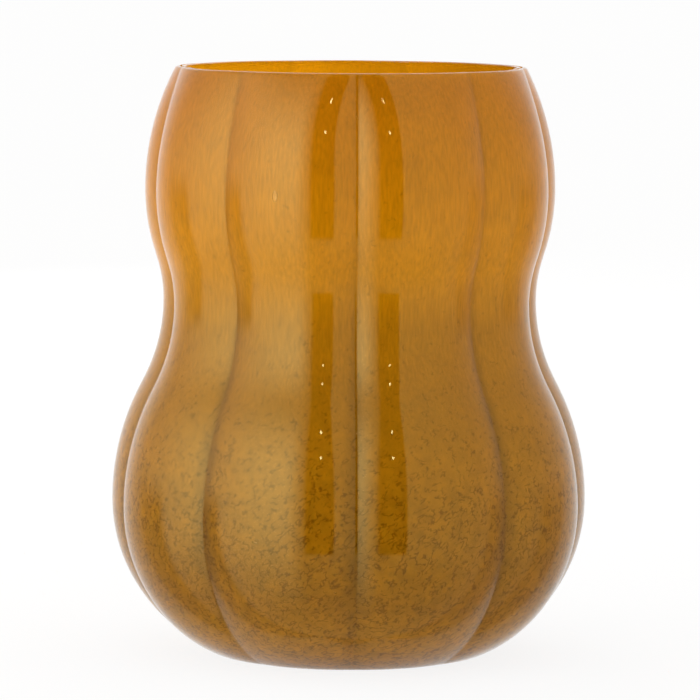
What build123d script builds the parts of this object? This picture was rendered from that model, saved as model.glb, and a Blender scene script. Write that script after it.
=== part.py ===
"""Gourd vase of mouth-blown cased glass: a lobed body in three fused layers.

The hot glass was blown into a ribbed mould, so nine lobes run from the foot to the rim with a
narrow groove between each pair. From outside to inside the wall is a clear casing, a thin layer
of crushed brown glass, and an amber lining, all cut flat and polished together at the rim.

Millimetres, +Z up. The origin is on the table under the middle of the foot, one groove faces -Y.
"""
import os

from build123d import *

# Turning points of the wall, measured over the crests of the lobes
FOOT_RADIUS = 58.0
BELLY_RADIUS = 102.5
BELLY_HEIGHT = 64.5
WAIST_RADIUS = 80.5
WAIST_HEIGHT = 150.5
SHOULDER_RADIUS = 88.5
SHOULDER_HEIGHT = 198.0
RIM_RADIUS = 75.0
RIM_HEIGHT = 250.0

# Where the wall turns from round to hollow and back, as a share of the way up each flank
LOWER_FLANK_TURN = 0.59
UPPER_FLANK_TURN = 0.40

# Lobes: the grooves are as deep all the way up, but shallower at the rim and all but gone at the foot
LOBES = 9
GROOVE_DEPTH = 5.0
GROOVE_FILLET = 3.0
RIM_GROOVE_DEPTH = 1.6
RIM_FADE_LENGTH = 36.0
FOOT_GROOVE_DEPTH = 0.8
FOOT_FADE_LENGTH = 30.0

# Layers of glass, outermost first: across the wall, and down through the floor
CASING_WALL = 1.8
CASING_FLOOR = 4.0
FRIT_WALL = 0.9
FRIT_FLOOR = 1.2
LINING_WALL = 1.8
LINING_FLOOR = 4.0

# Finish of the cut edges and the shallow hollow under the foot
RIM_BEVEL = 0.7
PUSH_UP_RADIUS = 42.0
PUSH_UP_DEPTH = 1.8

# Levels at which the lobed outline is drawn, evenly spaced along the wall
STATIONS = 22

os.makedirs("parts", exist_ok=True)


def between(start, end, share):
    """The point that lies a share of the way from start to end."""
    return Vector(*start) + (Vector(*end) - Vector(*start)) * share


def meridian(wall, floor):
    """The crest line of a skin, wall inside the outer one and floor above the table: tangent arcs."""
    foot = (FOOT_RADIUS, floor)
    belly = (BELLY_RADIUS - wall, BELLY_HEIGHT)
    waist = (WAIST_RADIUS - wall, WAIST_HEIGHT)
    shoulder = (SHOULDER_RADIUS - wall, SHOULDER_HEIGHT)
    rim = (RIM_RADIUS - wall, RIM_HEIGHT)
    with BuildLine() as crest:
        TangentArc(belly, foot, tangent=(0, -1))
        belly_top = TangentArc(belly, between(belly, waist, LOWER_FLANK_TURN), tangent=(0, 1))
        TangentArc(belly_top @ 1, waist, tangent=belly_top % 1)
        waist_top = TangentArc(waist, between(waist, shoulder, UPPER_FLANK_TURN), tangent=(0, 1))
        TangentArc(waist_top @ 1, shoulder, tangent=waist_top % 1)
        TangentArc(shoulder, rim, tangent=(0, 1))
    return crest.wire()


def groove_depth(height):
    """Depth of the grooves at a level: the same all the way up, fading at both ends."""
    rim_fade = max(0.0, 1.0 - (RIM_HEIGHT - height) / RIM_FADE_LENGTH) ** 2
    foot_fade = max(0.0, 1.0 - height / FOOT_FADE_LENGTH) ** 2
    rim_change = (RIM_GROOVE_DEPTH - GROOVE_DEPTH) * rim_fade
    foot_change = (FOOT_GROOVE_DEPTH - GROOVE_DEPTH) * foot_fade
    return GROOVE_DEPTH + rim_change + foot_change


def lobed_outline(crest, groove, rounding, height):
    """A level cut through the vase: one arc for each lobe, with rounded grooves between them."""
    pitch = 360 / LOBES
    with BuildSketch(Plane.XY.offset(height)) as outline:
        with BuildLine():
            for lobe in range(LOBES):
                start = lobe * pitch - 90
                ThreePointArc(
                    Vector(groove, 0).rotate(Axis.Z, start),
                    Vector(crest, 0).rotate(Axis.Z, start + pitch / 2),
                    Vector(groove, 0).rotate(Axis.Z, start + pitch),
                )
        make_face()
        fillet(outline.vertices(), rounding)
    return outline.sketch


def skin(wall, floor):
    """Lobed outlines of one skin of the wall, from its floor to the rim."""
    crest = meridian(wall, floor)
    points = [crest @ (station / (STATIONS - 1)) for station in range(STATIONS)]
    points.sort(key=lambda point: point.Y)
    rounding = GROOVE_FILLET + wall
    return [lobed_outline(p.X, p.X - groove_depth(p.Y), rounding, p.Y) for p in points]


outer_skin = skin(0, 0)
frit_skin = skin(CASING_WALL, CASING_FLOOR)
lining_skin = skin(CASING_WALL + FRIT_WALL, CASING_FLOOR + FRIT_FLOOR)
hollow_skin = skin(CASING_WALL + FRIT_WALL + LINING_WALL, CASING_FLOOR + FRIT_FLOOR + LINING_FLOOR)

# Clear casing: the outer gather, with a shallow push-up so that it stands on a ring
with BuildPart() as clear_casing:
    loft(sections=outer_skin)
    loft(sections=frit_skin, mode=Mode.SUBTRACT)
    rim_face = clear_casing.faces().sort_by(Axis.Z)[-1]
    chamfer(rim_face.outer_wire().edges(), RIM_BEVEL)
    with BuildSketch(Plane.XZ):
        with BuildLine():
            TangentArc((0, PUSH_UP_DEPTH), (PUSH_UP_RADIUS, 0), tangent=(1, 0))
            Polyline((PUSH_UP_RADIUS, 0), (0, 0), (0, PUSH_UP_DEPTH))
        make_face()
    revolve(axis=Axis.Z, mode=Mode.SUBTRACT)
clear_casing.part.label = "clear_casing"
export_step(clear_casing.part, "parts/clear_casing.step")

# Frit layer: crushed brown glass rolled onto the lining and sealed under the casing
with BuildPart() as frit_layer:
    loft(sections=frit_skin)
    loft(sections=lining_skin, mode=Mode.SUBTRACT)
frit_layer.part.label = "frit_layer"
export_step(frit_layer.part, "parts/frit_layer.step")

# Amber lining: the first gather, which gives the vase its colour and holds the water
with BuildPart() as amber_lining:
    loft(sections=lining_skin)
    loft(sections=hollow_skin, mode=Mode.SUBTRACT)
    rim_face = amber_lining.faces().sort_by(Axis.Z)[-1]
    chamfer(rim_face.inner_wires()[0].edges(), RIM_BEVEL)
amber_lining.part.label = "amber_lining"
export_step(amber_lining.part, "parts/amber_lining.step")
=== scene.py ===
"""Gourd vase of mouth-blown cased glass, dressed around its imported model.

The three layers of glass are remodelled as smooth walls: a clear casing, the crushed brown glass
under it, and an amber lining. Metres, in the model's own frame: +Z up, the origin on the table
under the middle of the foot, one groove towards -Y.
"""
import math

import bmesh
import bpy
from mathutils import Matrix, Vector
from mathutils.bvhtree import BVHTree


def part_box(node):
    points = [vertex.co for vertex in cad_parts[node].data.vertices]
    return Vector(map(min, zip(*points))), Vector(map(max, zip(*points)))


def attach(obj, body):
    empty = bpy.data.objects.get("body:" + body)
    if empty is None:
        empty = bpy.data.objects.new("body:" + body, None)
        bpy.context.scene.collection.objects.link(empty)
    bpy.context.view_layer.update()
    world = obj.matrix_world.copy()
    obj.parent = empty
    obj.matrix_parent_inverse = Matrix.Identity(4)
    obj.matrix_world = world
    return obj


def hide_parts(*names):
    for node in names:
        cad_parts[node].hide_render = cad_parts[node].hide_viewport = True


bl_info = {
    "name": "Gourd vase",
    "version": (1, 0, 0),
    "blender": (4, 5, 0),
    "location": "View3D > Sidebar > Gourd vase",
    "description": "Dresses the lobed vase in its layers of glass and sets up the studio",
    "category": "Object",
}

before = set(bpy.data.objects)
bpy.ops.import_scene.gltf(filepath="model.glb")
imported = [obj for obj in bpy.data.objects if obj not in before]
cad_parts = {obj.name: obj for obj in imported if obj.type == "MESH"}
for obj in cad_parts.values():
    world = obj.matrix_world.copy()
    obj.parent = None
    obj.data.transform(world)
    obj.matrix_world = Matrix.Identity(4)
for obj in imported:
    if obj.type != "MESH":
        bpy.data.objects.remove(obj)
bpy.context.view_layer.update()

MM = 0.001
TINY = 0.01 * MM  # closer than this, a point counts as on the axis or on the rim
WELD = 0.001 * MM  # closer than this, two points become one
RIM_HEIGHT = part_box("clear_casing")[1].z


def linear(code):
    """An sRGB hex colour as linear red, green and blue."""
    parts = [int(code[i:i + 2], 16) / 255 for i in (1, 3, 5)]
    return tuple(c / 12.92 if c <= 0.04045 else ((c + 0.055) / 1.055) ** 2.4 for c in parts)


# Settings that a user would change


def length(name, description, default):
    """A length property in metres, from millimetres."""
    return bpy.props.FloatProperty(
        name=name, description=description, default=default * MM, unit="LENGTH", precision=4)


def colour(name, description, code):
    """A colour property from an sRGB hex code."""
    return bpy.props.FloatVectorProperty(
        name=name, description=description, default=linear(code), subtype="COLOR", min=0, max=1)


class VaseForm(bpy.types.PropertyGroup):
    """Turning points of the wall over the crests, the lobes, and the layers."""
    foot_radius: length("Foot radius", "Radius of the foot where the wall leaves the table", 58.0)
    belly_radius: length("Belly radius", "Widest radius of the lower bulb, over the crests", 102.5)
    belly_height: length("Belly height", "Height of the widest point of the lower bulb", 64.5)
    waist_radius: length("Waist radius", "Narrowest radius between the bulbs, over the crests", 80.5)
    waist_height: length("Waist height", "Height of the narrowest point between the bulbs", 150.5)
    shoulder_radius: length("Shoulder radius", "Widest radius of the upper bulb, over the crests", 88.5)
    shoulder_height: length("Shoulder height", "Height of the widest point of the upper bulb", 198.0)
    rim_radius: length("Rim radius", "Radius of the cut rim, over the crests", 75.0)
    lower_flank_turn: bpy.props.FloatProperty(
        name="Lower flank turn",
        description="Where the wall turns from round to hollow, as a share of the way from belly "
        "to waist",
        default=0.59, subtype="FACTOR", min=0, max=1)
    upper_flank_turn: bpy.props.FloatProperty(
        name="Upper flank turn",
        description="Where the wall turns from hollow to round, as a share of the way from waist "
        "to shoulder",
        default=0.40, subtype="FACTOR", min=0, max=1)
    lobes: bpy.props.IntProperty(
        name="Lobes", description="Number of lobes round the vase", default=9, min=3)
    groove_depth: length("Groove depth", "Depth of the grooves below the crests", 5.0)
    groove_fillet: length("Groove fillet", "Radius at the bottom of each groove, outside", 3.0)
    rim_groove_depth: length("Rim groove depth", "Depth of the grooves at the rim", 1.6)
    rim_fade: length("Rim fade", "Length below the rim over which the grooves get shallower", 36.0)
    foot_groove_depth: length("Foot groove depth", "Depth of the grooves at the foot", 0.8)
    foot_fade: length("Foot fade", "Height above the table over which the grooves fade out", 30.0)
    casing_wall: length("Casing wall", "Thickness of the clear casing in the wall", 1.8)
    casing_floor: length("Casing floor", "Thickness of the clear casing under the foot", 4.0)
    frit_wall: length("Frit wall", "Thickness of the frit layer in the wall", 0.9)
    frit_floor: length("Frit floor", "Thickness of the frit layer in the floor", 1.2)
    lining_wall: length("Lining wall", "Thickness of the amber lining in the wall", 1.8)
    lining_floor: length("Lining floor", "Thickness of the amber lining in the floor", 4.0)
    rim_bevel: length("Rim bevel", "Width of the polished arris at the rim", 0.7)
    push_up_radius: length("Push-up radius", "Radius of the shallow hollow under the foot", 42.0)
    push_up_depth: length("Push-up depth", "Depth of the hollow under the foot", 1.8)


class VaseColours(bpy.types.PropertyGroup):
    """Colours of the glass and the stage."""
    casing: colour("Clear glass", "Tint of the clear casing", "#FFFBF4")
    gloss: colour("Gloss", "Tint of what the casing mirrors", "#FFF4AC")
    # Painted light: the frit colours at the base and the belly are lighter than the glass itself,
    # standing in for light that the downward-facing foot and the dark inside of the lower bulb miss
    base: colour("Frit at the base", "Pale amber of the frit layer next to the table", "#CB990F")
    foot: colour("Frit at the foot", "Olive amber of the frit layer round the foot", "#AD7D0F")
    belly: colour("Frit at the belly", "Brown amber of the frit layer round the lower bulb", "#B9860F")
    waist: colour("Frit at the waist", "Bright amber of the frit layer between the bulbs", "#D39808")
    shoulder: colour("Frit at the shoulder", "Amber of the frit layer round the upper bulb", "#D09108")
    rim: colour("Frit at the rim", "Amber of the frit layer below the rim", "#C07D08")
    speck: colour("Specks", "Brown of the larger flakes", "#563402")
    lining: colour("Amber glass", "Tint of the lining", "#F9DB59")
    floor: colour("Floor", "Paper that the vase stands on", "#F4F3F1")


# Shared mesh tools


def arc_to(bm, vert, end, steps, start_tangent=None, end_tangent=None):
    """Extrudes a vertex along a tangent arc in the XZ plane. Returns the last vertex and its heading."""
    chord = Vector((end[0] - vert.co.x, end[1] - vert.co.z))
    if start_tangent is None:
        away = Vector(end_tangent).normalized()
        start_tangent = chord * (2 * chord.dot(away) / chord.length_squared) - away
    heading = Vector(start_tangent).normalized()
    side = Vector((-heading.y, heading.x))
    turn = 2 * math.atan2(chord.dot(side), chord.dot(heading))
    reach = chord.length_squared / (2 * chord.dot(side))
    centre = (vert.co.x + side.x * reach, 0, vert.co.z + side.y * reach)
    spun = bmesh.ops.spin(
        bm, geom=[vert], cent=centre, axis=(0, -1, 0), angle=turn, steps=steps, use_duplicate=False)
    last = next(v for v in spun["geom_last"] if isinstance(v, bmesh.types.BMVert))
    return last, Matrix.Rotation(turn, 2) @ heading


def line_to(bm, vert, end, steps):
    """Extrudes a vertex along a straight line in the XZ plane, in equal steps."""
    step = Vector((end[0] - vert.co.x, 0, end[1] - vert.co.z)) / steps
    for _ in range(steps):
        grown = bmesh.ops.extrude_vert_indiv(bm, verts=[vert])
        vert = grown["verts"][0]
        vert.co += step
    return vert


def groove_depth(form, height):
    """Depth of the grooves at a level: the same all the way up, fading at both ends."""
    full = form.groove_depth
    rim = max(0.0, 1 - (RIM_HEIGHT - height) / form.rim_fade) ** 2
    foot = max(0.0, 1 - height / form.foot_fade) ** 2
    return full + (form.rim_groove_depth - full) * rim + (form.foot_groove_depth - full) * foot


def lobed_share(form, angle, crest, depth, fillet):
    """Radius of the lobed outline at an angle from the nearest groove, as a share of its crest."""
    half = math.pi / form.lobes
    chord = (crest - depth) * math.sin(half)
    rise = crest - (crest - depth) * math.cos(half)
    lobe = (chord ** 2 + rise ** 2) / (2 * rise)
    offset = crest - lobe
    # The fillet's centre is on the line of the groove, its circle touches the lobes on both sides
    away = offset * math.cos(half) + math.sqrt((lobe + fillet) ** 2 - (offset * math.sin(half)) ** 2)
    touch = math.atan2(
        offset * math.sin(half) * fillet / (lobe + fillet),
        away + (offset * math.cos(half) - away) * fillet / (lobe + fillet))
    if angle < touch:
        radius = away * math.cos(angle) - math.sqrt(fillet ** 2 - (away * math.sin(angle)) ** 2)
    else:
        across = offset * math.sin(half - angle)
        radius = offset * math.cos(half - angle) + math.sqrt(lobe ** 2 - across ** 2)
    return radius / crest


# How finely a skin is drawn: steps along each stretch of its half section, and round each lobe
PUSH_UP_STEPS = 6
FOOT_RING_STEPS = 4
FLOOR_STEPS = 8
BELLY_STEPS = 16
LOWER_FLANK_STEPS = 10
WAIST_STEPS = 8
UPPER_FLANK_STEPS = 5
SHOULDER_STEPS = 7
RIM_STEPS = 11
STEPS_PER_LOBE = 16
GROOVE_CROWDING = 0.8


def skin_line(bm, form, wall, floor, push_up=False):
    """Draws the half section of one skin in the XZ plane, from the axis to the rim. Returns its end."""
    foot = (form.foot_radius, floor)
    belly = Vector((form.belly_radius - wall, form.belly_height))
    waist = Vector((form.waist_radius - wall, form.waist_height))
    shoulder = Vector((form.shoulder_radius - wall, form.shoulder_height))
    rim = (form.rim_radius - wall, RIM_HEIGHT)
    up = (0, 1)
    start = (0, 0, form.push_up_depth if push_up else floor)
    vert = bmesh.ops.create_vert(bm, co=start)["vert"][0]
    if push_up:
        edge = (form.push_up_radius, 0)
        vert, _ = arc_to(bm, vert, edge, PUSH_UP_STEPS, start_tangent=(1, 0))
        vert = line_to(bm, vert, foot, FOOT_RING_STEPS)
    else:
        vert = line_to(bm, vert, foot, FLOOR_STEPS)
    lower_turn = belly.lerp(waist, form.lower_flank_turn)
    upper_turn = waist.lerp(shoulder, form.upper_flank_turn)
    vert, _ = arc_to(bm, vert, belly, BELLY_STEPS, end_tangent=up)
    vert, way = arc_to(bm, vert, lower_turn, LOWER_FLANK_STEPS, start_tangent=up)
    vert, _ = arc_to(bm, vert, waist, WAIST_STEPS, start_tangent=way)
    vert, way = arc_to(bm, vert, upper_turn, UPPER_FLANK_STEPS, start_tangent=up)
    vert, _ = arc_to(bm, vert, shoulder, SHOULDER_STEPS, start_tangent=way)
    vert, _ = arc_to(bm, vert, rim, RIM_STEPS, start_tangent=up)
    return vert


def press_lobes(bm, form, depth_in_wall):
    """Presses the lobes into a round wall, as a ribbed mould would."""
    pitch = 2 * math.pi / form.lobes
    for vert in bm.verts:
        radius = math.hypot(vert.co.x, vert.co.y)
        if radius < TINY:
            continue
        # The columns of the mesh crowd towards the grooves, where the wall turns most
        turn = (math.atan2(vert.co.y, vert.co.x) + math.pi / 2) / pitch
        part = turn - math.floor(turn)
        part -= GROOVE_CROWDING * math.sin(2 * math.pi * part) / (2 * math.pi)
        angle = (math.floor(turn) + part) * pitch - math.pi / 2
        crest = max(radius, form.foot_radius)
        share = lobed_share(
            form, min(part, 1 - part) * pitch, crest, groove_depth(form, vert.co.z),
            form.groove_fillet + vert[depth_in_wall])
        vert.co.x = radius * share * math.cos(angle)
        vert.co.y = radius * share * math.sin(angle)


def blow_seeds(bm, seeds, depth):
    """Leaves small flat bubbles in a wall, this deep below its outer skin."""
    tree = BVHTree.FromBMesh(bm)
    for angle, height, size in seeds:
        out = Vector((math.sin(math.radians(angle)), -math.cos(math.radians(angle)), 0))
        hit, normal, _, _ = tree.ray_cast(out * 2 * RIM_HEIGHT + Vector((0, 0, height)), -out)
        turn = normal.to_track_quat("Y", "Z").to_matrix().to_4x4()
        place = Matrix.Translation(hit - normal * depth) @ turn @ Matrix.Diagonal((*size, 1.0))
        ball = bmesh.ops.create_uvsphere(bm, u_segments=16, v_segments=10, radius=0.5, matrix=place)
        hollow = {face for vert in ball["verts"] for face in vert.link_faces}
        bmesh.ops.recalc_face_normals(bm, faces=list(hollow))
        bmesh.ops.reverse_faces(bm, faces=list(hollow))


def layer_piece(name, form, outside, inside, material, node, push_up=False, bevels=(), seeds=()):
    """Makes one layer of glass as a closed wall between two skins, each given as (wall, floor)."""
    bm = bmesh.new()
    crease = bm.edges.layers.float.new("crease_edge")
    depth_in_wall = bm.verts.layers.float.new("depth_in_wall")
    ends = []
    for wall, floor in (outside, inside):
        drawn = set(bm.verts)
        ends.append(skin_line(bm, form, wall, floor, push_up and not drawn))
        for vert in bm.verts:
            if vert not in drawn:
                vert[depth_in_wall] = wall
    bmesh.ops.contextual_create(bm, geom=ends)
    bmesh.ops.spin(
        bm, geom=bm.verts[:] + bm.edges[:], cent=(0, 0, 0), axis=(0, 0, 1), angle=2 * math.pi,
        steps=form.lobes * STEPS_PER_LOBE, use_merge=True, use_duplicate=False)
    bmesh.ops.remove_doubles(bm, verts=bm.verts[:], dist=WELD)
    press_lobes(bm, form, depth_in_wall)
    bm.verts.layers.float.remove(depth_in_wall)
    bmesh.ops.recalc_face_normals(bm, faces=bm.faces[:])
    # The cut rim: a bevelled arris on the sides named, and sharp edges on the others
    ring = {f for f in bm.faces if all(v.co.z > RIM_HEIGHT - TINY for v in f.verts)}
    arris = []
    for face in ring:
        for edge in face.edges:
            if ring.issuperset(edge.link_faces):
                continue
            middle = (edge.verts[0].co + edge.verts[1].co) / 2
            side = "outer" if middle.length > face.calc_center_median().length else "inner"
            if side in bevels:
                arris.append(edge)
            else:
                edge[crease] = 1.0
    if arris:
        bmesh.ops.bevel(
            bm, geom=arris, offset=form.rim_bevel, offset_type="OFFSET", affect="EDGES",
            segments=2, profile=0.5, material=-1, clamp_overlap=True)
    blow_seeds(bm, seeds, (inside[0] - outside[0]) / 2)
    for face in bm.faces:
        face.smooth = True
    mesh = bpy.data.meshes.new(name)
    bm.to_mesh(mesh)
    bm.free()
    piece = bpy.data.objects.new(name, mesh)
    bpy.context.scene.collection.objects.link(piece)
    mesh.materials.append(material)
    smooth = piece.modifiers.new("Smooth wall", "SUBSURF")
    smooth.levels = smooth.render_levels = 1
    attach(piece, "root")
    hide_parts(node)


# Shared material tools


def new_material(name):
    """An empty node material and its tree."""
    material = bpy.data.materials.new(name)
    material.use_nodes = True
    tree = material.node_tree
    tree.nodes.clear()
    return material, tree


def add(tree, kind, links=None, **settings):
    """Adds a node. Settings are its properties or inputs, links are sockets or values for inputs."""
    node = tree.nodes.new(kind)
    for key, value in settings.items():
        if key in node.bl_rna.properties:
            setattr(node, key, value)
        else:
            node.inputs[key.replace("_", " ")].default_value = value
    for key, source in (links or {}).items():
        if isinstance(source, bpy.types.NodeSocket):
            tree.links.new(source, node.inputs[key])
        else:
            node.inputs[key].default_value = source
    return node


def rgba(value):
    """A linear colour with full alpha."""
    return (*value[:3], 1.0)


def lamps_through(tree, surface, tint):
    """Lets lamps and scattered light pass straight through glass, tinted, and closes the material."""
    path = add(tree, "ShaderNodeLightPath")
    either = add(
        tree, "ShaderNodeMath",
        {0: path.outputs["Is Shadow Ray"], 1: path.outputs["Is Diffuse Ray"]}, operation="MAXIMUM")
    clear = add(tree, "ShaderNodeBsdfTransparent", Color=rgba(tint))
    mix = add(tree, "ShaderNodeMixShader", {0: either.outputs[0], 1: surface, 2: clear.outputs[0]})
    add(tree, "ShaderNodeOutputMaterial", {"Surface": mix.outputs[0]})


# Sizes of the patterns in the glass, matched to the photograph at the vase's guessed height,
# with the slope of the flakes and the stretch of flakes and streaks
CASING_RIPPLE = 30 * MM
CASING_RIPPLE_HEIGHT = 0.04 * MM
LINING_RIPPLE = 22 * MM
LINING_RIPPLE_HEIGHT = 0.08 * MM
FLAKE_SIZE = 2.4 * MM
FLAKE_SLOPE = math.radians(50)
FLAKE_STRETCH = 1.8
FLAKE_BREAK = 2.6 * MM
MOTTLE_SIZE = 4 * MM
STREAK_WIDTH = 0.9 * MM
STREAK_SQUEEZE = 0.12
CLOUD_SIZE = 14 * MM

# How strong the clouds are beside the grain, and how much light goes through the frit layer
CLOUD_SHARE = 0.3
FRIT_THROUGH = 0.65


def clear_glass(colours):
    """Soda-lime glass, blown into a mould and fire-polished: clear, with slow ripples in its gloss."""
    material, tree = new_material("clear_soda_lime_glass")
    place = add(tree, "ShaderNodeTexCoord")
    ripple = add(
        tree, "ShaderNodeTexNoise", {"Vector": place.outputs["Object"]}, Scale=1 / CASING_RIPPLE,
        Detail=1.0)
    bump = add(
        tree, "ShaderNodeBump", {"Height": ripple.outputs["Fac"]}, Strength=1.0,
        Distance=CASING_RIPPLE_HEIGHT)
    glass = add(
        tree, "ShaderNodeBsdfPrincipled", {"Normal": bump.outputs["Normal"]},
        Base_Color=rgba(colours.casing), Roughness=0.0, IOR=1.5, Transmission_Weight=1.0,
        Specular_Tint=rgba(colours.gloss))
    lamps_through(tree, glass.outputs[0], (1, 1, 1))
    return material


def frit_glass(colours, lobes):
    """Crushed brown glass melted into amber: cloudy, with short flakes, closer towards the foot."""
    material, tree = new_material("amber_frit_glass")
    place = add(tree, "ShaderNodeTexCoord").outputs["Object"]
    spot = add(tree, "ShaderNodeSeparateXYZ", {0: place})
    height = spot.outputs["Z"]
    # The layer gets lighter from the foot to the shoulder, partly its own colour, as glass blown out
    # thinner would be, and partly painted light coming through the thinner upper walls; the band by the
    # table and the lower bulb are painted lighter, for light that the downward-facing foot and the dark
    # inside of the lower bulb miss
    level = add(tree, "ShaderNodeMapRange", {"Value": height}, From_Max=RIM_HEIGHT)
    body = add(tree, "ShaderNodeValToRGB", {"Fac": level.outputs[0]})
    ramp = body.color_ramp
    stops = (
        (12, colours.base), (30, colours.foot), (48, colours.foot), (85, colours.belly),
        (143, colours.belly), (168, colours.waist), (195, colours.shoulder), (245, colours.rim))
    for stop, _ in stops[2:]:
        ramp.elements.new(stop * MM / RIM_HEIGHT)
    for element, (stop, shade) in zip(ramp.elements, stops):
        element.position = stop * MM / RIM_HEIGHT
        element.color = rgba(shade)
    # Flakes: thin curls along the level lines of a noise that is drawn out aslant
    slope = add(
        tree, "ShaderNodeMapping", {"Vector": place}, vector_type="TEXTURE",
        Rotation=(0, FLAKE_SLOPE, 0), Scale=(1, 1, FLAKE_STRETCH))
    curl = add(
        tree, "ShaderNodeTexNoise", {"Vector": slope.outputs[0]}, Scale=1 / FLAKE_SIZE, Detail=2.0,
        Distortion=0.3)
    aside = add(tree, "ShaderNodeMath", {0: curl.outputs["Fac"], 1: 0.5}, operation="SUBTRACT")
    aside = add(tree, "ShaderNodeMath", {0: aside.outputs[0]}, operation="ABSOLUTE")
    line = add(
        tree, "ShaderNodeMapRange", {"Value": aside.outputs[0]}, interpolation_type="SMOOTHSTEP",
        From_Min=0.07, From_Max=0.01)
    # A second noise breaks them up: they are close and dark at the foot, rare and faint at the shoulder
    scatter = add(tree, "ShaderNodeTexNoise", {"Vector": place}, Scale=1 / FLAKE_BREAK, Detail=2.0)
    limit = add(
        tree, "ShaderNodeMapRange", {"Value": height}, From_Min=60 * MM, From_Max=150 * MM,
        To_Min=0.36, To_Max=0.57)
    faint = add(
        tree, "ShaderNodeMapRange", {"Value": height}, From_Min=70 * MM, From_Max=150 * MM,
        To_Min=0.7, To_Max=0.45)
    there = add(
        tree, "ShaderNodeMath", {0: scatter.outputs["Fac"], 1: limit.outputs[0]}, operation="SUBTRACT")
    there = add(
        tree, "ShaderNodeMapRange", {"Value": there.outputs[0], "To Max": faint.outputs[0]},
        interpolation_type="SMOOTHSTEP", From_Max=0.2)
    flakes = add(tree, "ShaderNodeMath", {0: line.outputs[0], 1: there.outputs[0]}, operation="MULTIPLY")
    specked = add(
        tree, "ShaderNodeMix", {0: flakes.outputs[0], 6: body.outputs[0], 7: rgba(colours.speck)},
        data_type="RGBA")
    # Mottling on the lower bulb, fine streaks drawn upwards above it, and a slow cloudiness
    mottle = add(tree, "ShaderNodeTexNoise", {"Vector": place}, Scale=1 / MOTTLE_SIZE, Detail=3.0)
    tall = add(tree, "ShaderNodeMapping", {"Vector": place}, Scale=(1, 1, STREAK_SQUEEZE))
    streak = add(
        tree, "ShaderNodeTexNoise", {"Vector": tall.outputs[0]}, Scale=1 / STREAK_WIDTH, Detail=2.0)
    drawn = add(
        tree, "ShaderNodeMapRange", {"Value": height}, interpolation_type="SMOOTHSTEP",
        From_Min=70 * MM, From_Max=140 * MM)
    grain = add(
        tree, "ShaderNodeMix",
        {0: drawn.outputs[0], 2: mottle.outputs["Fac"], 3: streak.outputs["Fac"]})
    cloud = add(tree, "ShaderNodeTexNoise", {"Vector": place}, Scale=1 / CLOUD_SIZE, Detail=2.0)
    both = add(
        tree, "ShaderNodeMath", {0: cloud.outputs["Fac"], 1: CLOUD_SHARE, 2: grain.outputs[0]},
        operation="MULTIPLY_ADD")
    tone = add(
        tree, "ShaderNodeMapRange", {"Value": both.outputs[0]}, From_Min=0.4, From_Max=0.9,
        To_Min=0.78, To_Max=1.22)
    # Painted shade in the grooves: the layer is darkened there, standing in for the shade and dark
    # reflections in the hollows, and less so higher up
    front = add(tree, "ShaderNodeMath", {0: spot.outputs["Y"], 1: -1.0}, operation="MULTIPLY")
    turn = add(tree, "ShaderNodeMath", {0: spot.outputs["X"], 1: front.outputs[0]}, operation="ARCTAN2")
    turn = add(tree, "ShaderNodeMath", {0: turn.outputs[0], 1: lobes / 2}, operation="MULTIPLY")
    turn = add(tree, "ShaderNodeMath", {0: turn.outputs[0]}, operation="SINE")
    groove = add(tree, "ShaderNodeMath", {0: turn.outputs[0]}, operation="ABSOLUTE")
    upper = add(
        tree, "ShaderNodeMapRange", {"Value": height}, From_Min=110 * MM, From_Max=170 * MM,
        To_Min=0.64, To_Max=0.84)
    deepest = add(
        tree, "ShaderNodeMapRange", {"Value": height, "To Max": upper.outputs[0]}, From_Min=10 * MM,
        From_Max=50 * MM, To_Min=0.9)
    breadth = add(
        tree, "ShaderNodeMapRange", {"Value": height}, From_Min=70 * MM, From_Max=180 * MM, To_Min=0.36,
        To_Max=0.18)
    painted_groove_shade = add(
        tree, "ShaderNodeMapRange",
        {"Value": groove.outputs[0], "From Max": breadth.outputs[0], "To Min": deepest.outputs[0]},
        interpolation_type="SMOOTHSTEP")
    shade = add(tree, "ShaderNodeMath", {0: tone.outputs[0], 1: painted_groove_shade.outputs[0]}, operation="MULTIPLY")
    final = add(
        tree, "ShaderNodeVectorMath", {0: specked.outputs[2], 1: shade.outputs[0]}, operation="MULTIPLY")
    cloudy = add(
        tree, "ShaderNodeBsdfPrincipled", {"Base Color": final.outputs[0]}, Roughness=0.9,
        Specular_IOR_Level=0.0)
    # The layer is thin: light that goes through it loses less colour than light that it sends back
    pale = add(tree, "ShaderNodeGamma", {"Color": final.outputs[0]}, Gamma=0.3)
    through = add(tree, "ShaderNodeBsdfTranslucent", {"Color": pale.outputs[0]})
    mix = add(
        tree, "ShaderNodeMixShader", {0: FRIT_THROUGH, 1: cloudy.outputs[0], 2: through.outputs[0]})
    add(tree, "ShaderNodeOutputMaterial", {"Surface": mix.outputs[0]})
    return material


def amber_glass(colours):
    """Amber soda-lime glass, fire-polished: a deep orange tint with a soft gloss inside the mouth."""
    material, tree = new_material("amber_soda_lime_glass")
    place = add(tree, "ShaderNodeTexCoord")
    ripple = add(
        tree, "ShaderNodeTexNoise", {"Vector": place.outputs["Object"]}, Scale=1 / LINING_RIPPLE,
        Detail=1.0)
    bump = add(
        tree, "ShaderNodeBump", {"Height": ripple.outputs["Fac"]}, Strength=1.0,
        Distance=LINING_RIPPLE_HEIGHT)
    glass = add(
        tree, "ShaderNodeBsdfPrincipled", {"Normal": bump.outputs["Normal"]},
        Base_Color=rgba(colours.lining), Roughness=0.03, IOR=1.5, Transmission_Weight=1.0)
    lamps_through(tree, glass.outputs[0], tuple(math.sqrt(c) for c in colours.lining))
    return material


# Pieces

OVERLAP = 0.1 * MM  # the fused layers reach this far into each other, so that no air shows between

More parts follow.
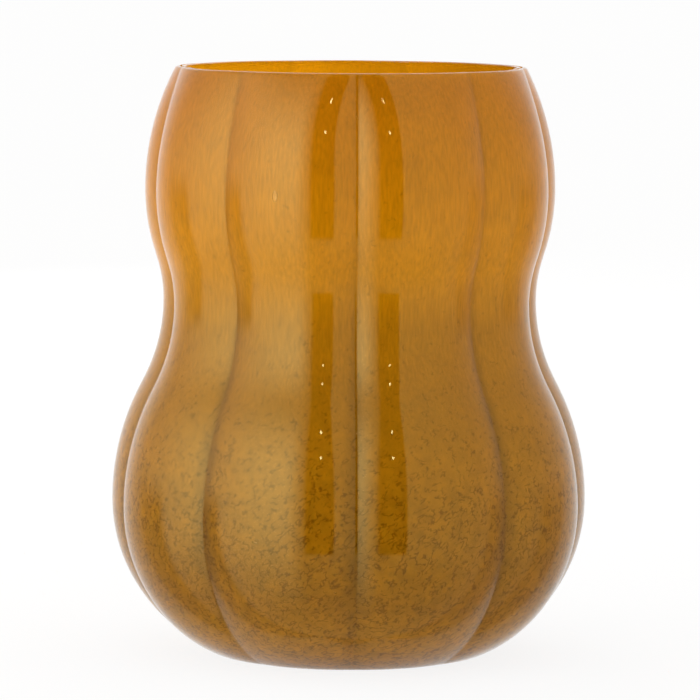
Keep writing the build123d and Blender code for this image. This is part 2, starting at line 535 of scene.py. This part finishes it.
# Seeds, small bubbles left in the casing: degrees right of the front, height, and size
SEEDS = (
    (-22.5, 200 * MM, (2.4 * MM, 1.2 * MM, 4.8 * MM)),
    (-24, 59 * MM, (2.8 * MM, 0.9 * MM, 1.1 * MM)),
    (-5, 38 * MM, (0.9 * MM, 0.5 * MM, 0.9 * MM)),
)


class VASE_OT_clear_casing(bpy.types.Operator):
    """Models the clear outer gather, with its lobes, cut rim and push-up"""
    bl_idname = "gourd_vase.clear_casing"
    bl_label = "Clear casing"

    def execute(self, context):
        form = context.scene.vase_form
        layer_piece(
            "clear_casing_glass", form, (0.0, 0.0), (form.casing_wall, form.casing_floor),
            clear_glass(context.scene.vase_colours), "clear_casing",
            push_up=True, bevels=("outer",), seeds=SEEDS)
        return {"FINISHED"}


class VASE_OT_frit_layer(bpy.types.Operator):
    """Models the layer of crushed brown glass between the casing and the lining"""
    bl_idname = "gourd_vase.frit_layer"
    bl_label = "Frit layer"

    def execute(self, context):
        form = context.scene.vase_form
        wall, floor = form.casing_wall, form.casing_floor
        layer_piece(
            "frit_layer_glass", form, (wall - OVERLAP, floor - OVERLAP),
            (wall + form.frit_wall, floor + form.frit_floor),
            frit_glass(context.scene.vase_colours, form.lobes), "frit_layer")
        return {"FINISHED"}


class VASE_OT_amber_lining(bpy.types.Operator):
    """Models the amber inner gather, which holds the water"""
    bl_idname = "gourd_vase.amber_lining"
    bl_label = "Amber lining"

    def execute(self, context):
        form = context.scene.vase_form
        wall = form.casing_wall + form.frit_wall
        floor = form.casing_floor + form.frit_floor
        layer_piece(
            "amber_lining_glass", form, (wall - OVERLAP, floor - OVERLAP),
            (wall + form.lining_wall, floor + form.lining_floor),
            amber_glass(context.scene.vase_colours), "amber_lining", bevels=("inner",))
        return {"FINISHED"}


# Stage

CAMERA_DISTANCE = 2.040
CAMERA_HEIGHT = 0.3286
CAMERA_AIM = 0.1291
CAMERA_SIDE = math.radians(1.72)
CAMERA_ROLL = math.radians(0.31)
CAMERA_SENSOR = 36.0  # millimetres
CAMERA_LENS = 246.8  # millimetres
CAMERA_REACH = 200

FLOOR_REACH = 30
FLOOR_WHITE = 0.85  # how much of the paper shows as plain white to the camera

# Lamps for the cloudy glass, standing on the floor: degrees right of the front, height and watts
LAMP_DISTANCE = 1.8
LAMP_WIDTH = 1.2
LAMPS = (
    ("softbox_left", -75, 0.6, 12.0),
    ("fill_right", 85, 0.5, 2.5),
    ("paper_behind", -145, 0.3, 36.0),
)

# What the gloss mirrors, painted one over the other: a level of light, and where it sets in.
# Turn is in degrees from the camera's side, positive to its right, side is the same for both sides,
# rise is in degrees above the level, and back is 1 straight behind the vase
ROOM_LEVEL = 0.7
LIGHTS = (
    (4.2, (("turn", -8, -30), ("turn", -128, -38), ("rise", -75, 25), ("rise", 62, 15))),  # softbox
    (1.05, (("turn", 0, 14), ("turn", 110, 40), ("rise", -45, -15))),  # wall on the right
    (0.95, (("back", 0.6, 0.95), ("rise", -45, -15))),  # paper behind the vase
    # Painted shadow: the floor on both sides is mirrored darker, as it lies in the vase's own shade
    (0.4, (("side", 85, 97), ("side", 128, 116), ("rise", 6, -6))),  # dark floor on both sides
    (0.0, (("turn", -14, -8), ("turn", 15.5, 12.5), ("rise", -26, -22))),  # dark gap round the camera
    (18.0, (("turn", 1.2, 2.0), ("turn", 3.8, 3.0), ("rise", 24.4, 25.0), ("rise", 26.2, 25.6))),  # lamp
    (18.0, (("turn", 1.2, 2.0), ("turn", 3.8, 3.0), ("rise", 36.0, 36.7), ("rise", 38.2, 37.5))),  # lamp
)


def studio_world():
    """A white room, with a long softbox on the left and a dark gap behind the camera in the gloss."""
    world = bpy.data.worlds.new("white_studio")
    world.use_nodes = True
    tree = world.node_tree
    tree.nodes.clear()
    way = add(tree, "ShaderNodeSeparateXYZ", {0: add(tree, "ShaderNodeTexCoord").outputs["Generated"]})
    front = add(tree, "ShaderNodeMath", {0: way.outputs["Y"], 1: -1.0}, operation="MULTIPLY")
    turn = add(tree, "ShaderNodeMath", {0: way.outputs["X"], 1: front.outputs[0]}, operation="ARCTAN2")
    turn = add(tree, "ShaderNodeMath", {0: turn.outputs[0]}, operation="DEGREES").outputs[0]
    rise = add(tree, "ShaderNodeMath", {0: way.outputs["Z"]}, operation="ARCSINE")
    rise = add(tree, "ShaderNodeMath", {0: rise.outputs[0]}, operation="DEGREES").outputs[0]
    side = add(tree, "ShaderNodeMath", {0: turn}, operation="ABSOLUTE").outputs[0]
    ways = {"turn": turn, "side": side, "rise": rise, "back": way.outputs["Y"]}
    mirrored = ROOM_LEVEL
    for level, edges in LIGHTS:
        mask = 1.0
        for kind, start, end in edges:
            fade = add(
                tree, "ShaderNodeMapRange", {"Value": ways[kind]}, interpolation_type="SMOOTHSTEP",
                From_Min=start, From_Max=end)
            mask = add(
                tree, "ShaderNodeMath", {0: fade.outputs[0], 1: mask}, operation="MULTIPLY").outputs[0]
        mirrored = add(tree, "ShaderNodeMix", {0: mask, 2: mirrored, 3: level}).outputs[0]
    # Only reflections see the softbox and the gap, all else sees plain white
    path = add(tree, "ShaderNodeLightPath")
    gloss = add(
        tree, "ShaderNodeMath",
        {0: path.outputs["Is Glossy Ray"], 1: path.outputs["Is Transmission Ray"]},
        operation="SUBTRACT", use_clamp=True)
    strength = add(tree, "ShaderNodeMix", {0: gloss.outputs[0], 2: 1.0, 3: mirrored})
    sky = add(tree, "ShaderNodeBackground", {"Strength": strength.outputs[0]}, Color=(1, 1, 1, 1))
    add(tree, "ShaderNodeOutputWorld", {"Surface": sky.outputs[0]})
    return world


class VASE_OT_stage(bpy.types.Operator):
    """Sets up the white floor, the studio light and the camera"""
    bl_idname = "gourd_vase.stage"
    bl_label = "Studio"

    def execute(self, context):
        scene = context.scene
        scene.view_settings.view_transform = "Standard"
        scene.world = studio_world()
        # Floor: white paper, which keeps the soft shadow of the vase
        paper, tree = new_material("floor_paper")
        path = add(tree, "ShaderNodeLightPath")
        matt = add(tree, "ShaderNodeBsdfDiffuse", Color=rgba(scene.vase_colours.floor))
        white = add(tree, "ShaderNodeEmission", Strength=1.0)
        seen = add(
            tree, "ShaderNodeMath",
            {0: path.outputs["Is Camera Ray"], 1: FLOOR_WHITE}, operation="MULTIPLY")
        mix = add(
            tree, "ShaderNodeMixShader", {0: seen.outputs[0], 1: matt.outputs[0], 2: white.outputs[0]})
        add(tree, "ShaderNodeOutputMaterial", {"Surface": mix.outputs[0]})
        bm = bmesh.new()
        bmesh.ops.create_grid(bm, x_segments=1, y_segments=1, size=FLOOR_REACH)
        mesh = bpy.data.meshes.new("floor")
        bm.to_mesh(mesh)
        bm.free()
        floor = bpy.data.objects.new("floor", mesh)
        scene.collection.objects.link(floor)
        mesh.materials.append(paper)
        floor.visible_glossy = False
        # Lamps, which the gloss doesn't mirror
        for name, angle, tall, energy in LAMPS:
            lamp = bpy.data.lights.new(name, "AREA")
            lamp.shape = "RECTANGLE"
            lamp.size, lamp.size_y = LAMP_WIDTH, tall
            lamp.energy = energy
            box = bpy.data.objects.new(name, lamp)
            turn = math.radians(angle)
            spot = Vector((math.sin(turn) * LAMP_DISTANCE, -math.cos(turn) * LAMP_DISTANCE, tall / 2))
            aim = (Vector((0, 0, RIM_HEIGHT / 2)) - spot).to_track_quat("-Z", "Y")
            box.matrix_world = Matrix.Translation(spot) @ aim.to_matrix().to_4x4()
            box.visible_glossy = False
            scene.collection.objects.link(box)
        # Camera: at the photograph's angle
        lens = bpy.data.cameras.new("camera")
        lens.sensor_width = CAMERA_SENSOR
        lens.lens = CAMERA_LENS
        lens.clip_end = CAMERA_REACH
        camera = bpy.data.objects.new("camera", lens)
        spot = Vector((
            -math.sin(CAMERA_SIDE) * CAMERA_DISTANCE, -math.cos(CAMERA_SIDE) * CAMERA_DISTANCE,
            CAMERA_HEIGHT))
        aim = (Vector((0, 0, CAMERA_AIM)) - spot).to_track_quat("-Z", "Y")
        camera.matrix_world = (
            Matrix.Translation(spot) @ aim.to_matrix().to_4x4() @ Matrix.Rotation(CAMERA_ROLL, 4, "Z"))
        scene.collection.objects.link(camera)
        scene.camera = camera
        return {"FINISHED"}


class VASE_PT_panel(bpy.types.Panel):
    """Lists the pieces of the vase and its studio"""
    bl_idname = "VASE_PT_panel"
    bl_label = "Gourd vase"
    bl_space_type = "VIEW_3D"
    bl_region_type = "UI"
    bl_category = "Gourd vase"

    def draw(self, context):
        for operator in OPERATORS:
            self.layout.operator(operator.bl_idname)
        for group in (context.scene.vase_form, context.scene.vase_colours):
            for key in group.__annotations__:
                self.layout.prop(group, key)


OPERATORS = (VASE_OT_clear_casing, VASE_OT_frit_layer, VASE_OT_amber_lining, VASE_OT_stage)
CLASSES = (VaseForm, VaseColours, *OPERATORS, VASE_PT_panel)


def register():
    for cls in CLASSES:
        bpy.utils.register_class(cls)
    bpy.types.Scene.vase_form = bpy.props.PointerProperty(type=VaseForm)
    bpy.types.Scene.vase_colours = bpy.props.PointerProperty(type=VaseColours)


def unregister():
    del bpy.types.Scene.vase_colours
    del bpy.types.Scene.vase_form
    for cls in reversed(CLASSES):
        bpy.utils.unregister_class(cls)


def main():
    """Builds the pieces and the stage."""
    register()
    bpy.ops.gourd_vase.clear_casing()
    bpy.ops.gourd_vase.frit_layer()
    bpy.ops.gourd_vase.amber_lining()
    bpy.ops.gourd_vase.stage()


if __name__ == "__main__":
    main()
